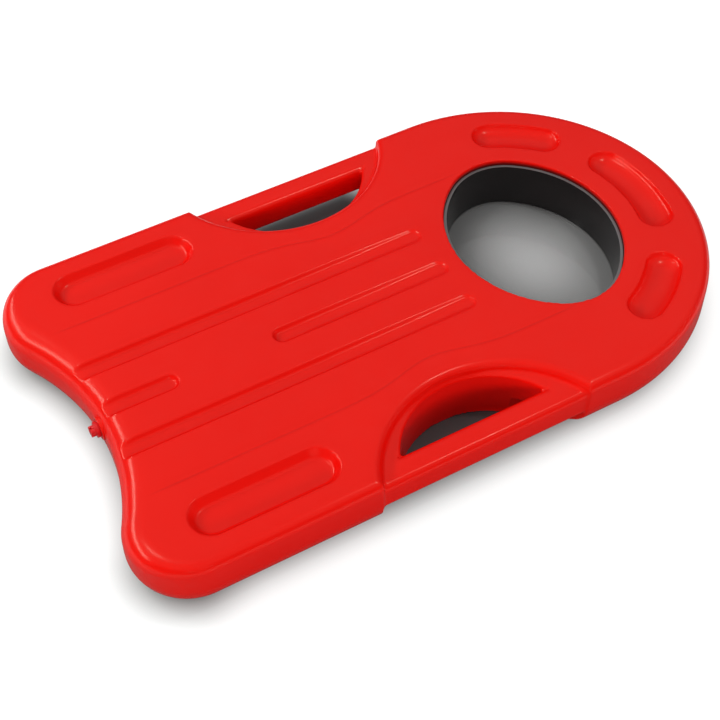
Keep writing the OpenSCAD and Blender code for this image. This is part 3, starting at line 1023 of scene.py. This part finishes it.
def past_tail(tree, x, y):
    side = calc(tree, "ABSOLUTE", y)
    off_lobe = calc(tree, "SUBTRACT", side, LOBE_Y * MM)
    behind_lobe = calc(tree, "MINIMUM", calc(tree, "SUBTRACT", x, LOBE_X * MM), 0.0)
    past_lobe = calc(tree, "SUBTRACT", reach(tree, behind_lobe, off_lobe), LOBE_R * MM)
    ahead = calc(tree, "SUBTRACT", x, NOTCH_C * MM)
    in_notch = calc(tree, "SUBTRACT", NOTCH_R * MM, reach(tree, ahead, y))
    turn = calc(tree, "ARCTAN2", side, ahead)
    at_lobe = calc(tree, "GREATER_THAN", turn, math.radians(NOTCH_TURN))
    more = calc(tree, "MULTIPLY", at_lobe, calc(tree, "SUBTRACT", past_lobe, in_notch))
    return calc(tree, "ADD", in_notch, more)


def fade_in(tree, value, start, end):
    return ranged(tree, value, start * MM, end * MM, 0.0, 1.0)


x, y = own_xyz(tree)[:2]
past = calc(tree, "MAXIMUM", past_nose_and_sides(tree, x, y), past_tail(tree, x, y))
print("distance from the outline takes", len(tree.nodes), "nodes")

# %% Colour of the sheet
HOLE_SHADE_Y = 165.0
HOLE_SHADE_FROM = 70.0
HOLE_SHADE_TO = 125.0
BESIDE_FROM = -10.0
BESIDE_TO = 30.0
UNDER_FROM = -38.0
UNDER_TO = -5.0
GREY_FROM = 10.0
GREY_TO = 180.0
UNDER_BOARD_PAINTED_SHADE = (0.09, 0.10, 0.10)
BESIDE_BOARD_PAINTED_SHADE = (0.25, 0.28, 0.27)
PALE_SHEET = (0.8, 0.8, 0.8)

# Painted shade: the sheet is dark under the board and below the far hand hole.
hole_x = calc(tree, "SUBTRACT", x, HAND_X * MM)
hole_y = calc(tree, "SUBTRACT", y, HOLE_SHADE_Y * MM)
hole_shade = fade_in(tree, reach(tree, hole_x, hole_y), HOLE_SHADE_FROM, HOLE_SHADE_TO)
beside = calc(tree, "MAXIMUM", hole_shade, fade_in(tree, past, BESIDE_FROM, BESIDE_TO))
outside = calc(tree, "MULTIPLY", fade_in(tree, past, UNDER_FROM, UNDER_TO), beside)
# Painted shade: the sheet is grey close beside the board.
pale = tint(tree, fade_in(tree, past, GREY_FROM, GREY_TO), BESIDE_BOARD_PAINTED_SHADE, PALE_SHEET)
colour(tree, shader, outside, UNDER_BOARD_PAINTED_SHADE, pale)
print("sheet is dark under the board and pale from", GREY_TO, "mm beside it")

# %% Glow of the sheet
GLOW = 0.85
GLOW_FROM = -36.0
GLOW_TO = 20.0
TAIL_SHADE = 9.0
TAIL_SHADE_END = LOBE_X + 50.0
POOL = 0.55
POOL_REACH = 0.9
POOL_X = WELL_X + 12.0
POOL_Y = 15.0
SHINE = 0.3
SHINE_FROM = 60.0
SHINE_TO = 220.0


def seen_rays(tree):
    path = tree.nodes.new("ShaderNodeLightPath").outputs
    mirrored = calc(tree, "MAXIMUM", path["Is Glossy Ray"], path["Is Transmission Ray"])
    return path["Is Camera Ray"], mirrored


# Painted pool of light: the sheet glows below the well, brightest near its middle.
across = calc(tree, "DIVIDE", calc(tree, "SUBTRACT", y, POOL_Y * MM), WELL_B * MM)
along = calc(tree, "DIVIDE", calc(tree, "SUBTRACT", x, POOL_X * MM), WELL_A * MM)
pool = ranged(tree, reach(tree, along, across), 0.0, POOL_REACH, POOL, 0.0)
# Painted shadow: behind the tail the glow starts later, so the shadow there is wider.
behind = ranged(tree, x, NOTCH_X * MM, TAIL_SHADE_END * MM, TAIL_SHADE * MM, 0.0)
away = calc(tree, "SUBTRACT", past, behind)
# Painted shadow: the glow ramps up from inside the outline to beyond it, which paints the grey band
# beside the board.
edge_glow = ranged(tree, away, GLOW_FROM * MM, GLOW_TO * MM, 0.0, GLOW)
glow = calc(tree, "MAXIMUM", calc(tree, "MULTIPLY", edge_glow, beside), pool)
# Painted shade in reflections: seen in a reflection the sheet glows only away from the board.
shine = ranged(tree, past, SHINE_FROM * MM, SHINE_TO * MM, 0.0, SHINE)
straight, mirrored = seen_rays(tree)
to_camera = calc(tree, "MULTIPLY", glow, straight)
lit = calc(tree, "ADD", to_camera, calc(tree, "MULTIPLY", shine, mirrored))
tree.links.new(lit, shader.inputs["Emission Strength"])
print("sheet's finish has", len(tree.nodes), "nodes")

# %% [markdown]
# ## Light
#
# Three lamps are there for their reflections: a long low strip behind the tail, for the highlights
# along its rounded edges, a small one above it for the rims that face the tail, and one almost
# overhead, for a thin line of light on every edge that faces the near side. Three large soft ones
# only fill, and aren't seen in reflections, so that the red stays deep: one high behind the board,
# and two low ones for the walls on the near side and at the nose. The surroundings look white but
# give only a part of that as light, and in a reflection they are white overhead and grey towards
# the horizon, as in a tent of white cloth.

# %% World
AMBIENT = 0.32
HORIZON = 0.2
CANOPY_FROM = 0.42
CANOPY_TO = 0.8

world = bpy.data.worlds.new("studio")
bpy.context.scene.world = world
world.use_nodes = True
air = world.node_tree
background = air.nodes["Background"]
background.inputs["Color"].default_value = (1, 1, 1, 1)
straight, mirrored = seen_rays(air)
heading = air.nodes.new("ShaderNodeSeparateXYZ")
air.links.new(air.nodes.new("ShaderNodeTexCoord").outputs["Generated"], heading.inputs["Vector"])
canopy = ranged(air, heading.outputs["Z"], CANOPY_FROM, CANOPY_TO, HORIZON, 1.0)
reflected = calc(air, "MULTIPLY", mirrored, calc(air, "SUBTRACT", canopy, AMBIENT))
plain = calc(air, "MULTIPLY_ADD", straight, 1.0 - AMBIENT, AMBIENT)
air.links.new(calc(air, "ADD", plain, reflected), background.inputs["Strength"])
bpy.context.scene.view_settings.view_transform = "Standard"
print("surroundings give", AMBIENT, "of white as light")


# %% Lamps
def soft_box(name, azimuth, elevation, distance, size, power, height=None):
    no_selection()
    turn, rise = math.radians(azimuth), math.radians(elevation)
    away = Vector((math.cos(rise) * math.cos(turn), math.cos(rise) * math.sin(turn), math.sin(rise)))
    bpy.ops.object.light_add(type="AREA", location=away * distance)
    lamp = bpy.context.object
    lamp.name = name
    lamp.data.shape = "RECTANGLE" if height else "DISK"
    lamp.data.size = size
    lamp.data.size_y = height or size
    lamp.data.energy = power
    lamp.rotation_euler = (-away).to_track_quat("-Z", "Y").to_euler()
    return lamp


soft_box("tail", azimuth=142, elevation=31, distance=2.2, size=2.4, power=24, height=0.3)
soft_box("rim", azimuth=143, elevation=60, distance=2.2, size=0.3, power=3.5)
soft_box("edge", azimuth=-22, elevation=68, distance=2.2, size=0.16, power=5)
fills = [
    soft_box("key", azimuth=135, elevation=62, distance=2.4, size=1.8, power=7),
    soft_box("near", azimuth=-112, elevation=21, distance=2.0, size=1.2, power=14, height=0.5),
    soft_box("nose", azimuth=-25, elevation=18, distance=2.0, size=1.0, power=7, height=0.5),
]
for lamp in fills:
    lamp.visible_glossy = False
print("fill lamps that reflections don't show:", [lamp.name for lamp in fills])
